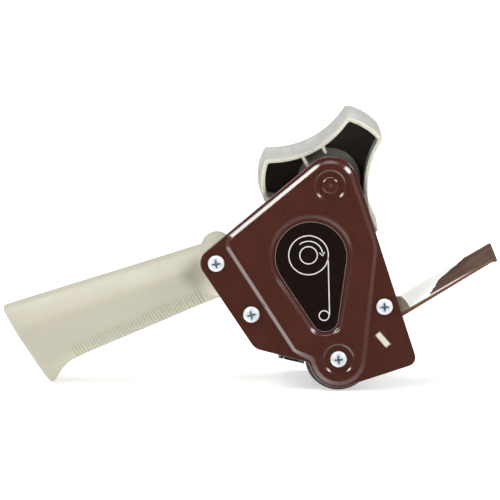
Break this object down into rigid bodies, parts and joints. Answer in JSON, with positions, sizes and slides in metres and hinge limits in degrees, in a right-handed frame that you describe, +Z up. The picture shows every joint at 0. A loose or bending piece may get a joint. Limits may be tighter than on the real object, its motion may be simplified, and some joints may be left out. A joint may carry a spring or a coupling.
{
  "type": "tape gun dispenser",
  "caption": "Hand-held tape gun: pressed side plate with pistol handle, three-lobed tape hub with brake, rubber roller, serrated blade and front wiping plate.",
  "frame": {"origin": "middle of the object's print on the floor it stands on, roller and handle butt down", "axes": "+Z up, +X from the handle to the front plate, +Y from the side plate to the open side where tape is loaded"},
  "size_m": [0.262, 0.0618, 0.1458],
  "materials": {
    "brown_paint": "gloss",
    "front_plate_steel": "polished, gloss brown",
    "label_film": "gloss",
    "cream_plastic": "satin moulded",
    "hub_plastic": "satin moulded",
    "black_plastic": "satin moulded",
    "grey_paint": "matt",
    "friction_fibre": "matt",
    "roller_rubber": "matt",
    "zinc_steel": "bright zinc plate",
    "bright_steel": "satin",
    "blade_steel": "ground"
  },
  "bodies": {
    "frame": {"side_plate": "brown_paint", "hub_axle": "brown_paint", "front_plate": "front_plate_steel", "label": "label_film", "handle_near_shell": "cream_plastic", "handle_far_shell": "cream_plastic", "front_moulding": "cream_plastic", "brake_plate": "grey_paint", "friction_pad": "friction_fibre", "handle_upper_screw": "zinc_steel", "handle_lower_screw": "zinc_steel", "front_moulding_screw": "zinc_steel", "roller_axle_screw": "zinc_steel", "handle_joining_screw_rear": "zinc_steel", "handle_joining_screw_front": "zinc_steel", "blade_screw_near": "zinc_steel", "blade_screw_far": "zinc_steel", "spring_seat_washer": "zinc_steel", "roller_spacer": "zinc_steel", "roller_end_washer": "zinc_steel", "roller_axle": "bright_steel", "roller_retaining_clip": "bright_steel", "tension_spring": "bright_steel", "front_plate_rivet_near": "bright_steel", "front_plate_rivet_far": "bright_steel", "blade": "blade_steel", "stripper_leaf": "blade_steel"},
    "hub": {"hub_shell": "hub_plastic", "hub_core": "black_plastic"},
    "roller": {"roller_tyre": "roller_rubber", "roller_core": "black_plastic"},
    "spring_cap": {"spring_cap_washer": "zinc_steel"},
    "tension_knob": {"tension_knob": "black_plastic"}
  },
  "joints": [
    {"name": "hub_spin", "type": "hinge", "parent": "frame", "child": "hub", "pos_m": [0.04281, 0.00235, 0.1106], "axis": [0, 1, 0], "continuous": true},
    {"name": "roller_spin", "type": "hinge", "parent": "frame", "child": "roller", "pos_m": [0.04761, 0.00235, 0.0177], "axis": [0, 1, 0], "continuous": true},
    {"name": "spring_cap_slide", "type": "slide", "parent": "frame", "child": "spring_cap", "axis": [0, 1, 0], "range_m": [0, 0.00151]},
    {"name": "tension_knob_turn", "type": "hinge", "parent": "spring_cap", "child": "tension_knob", "pos_m": [0.04281, 0.02635, 0.1106], "axis": [0, 1, 0], "range_deg": [0, 360]}
  ],
  "couplings": [
    {"joint": "spring_cap_slide", "follows": "tension_knob_turn", "m_per_rad": 0.00023873}
  ]
}
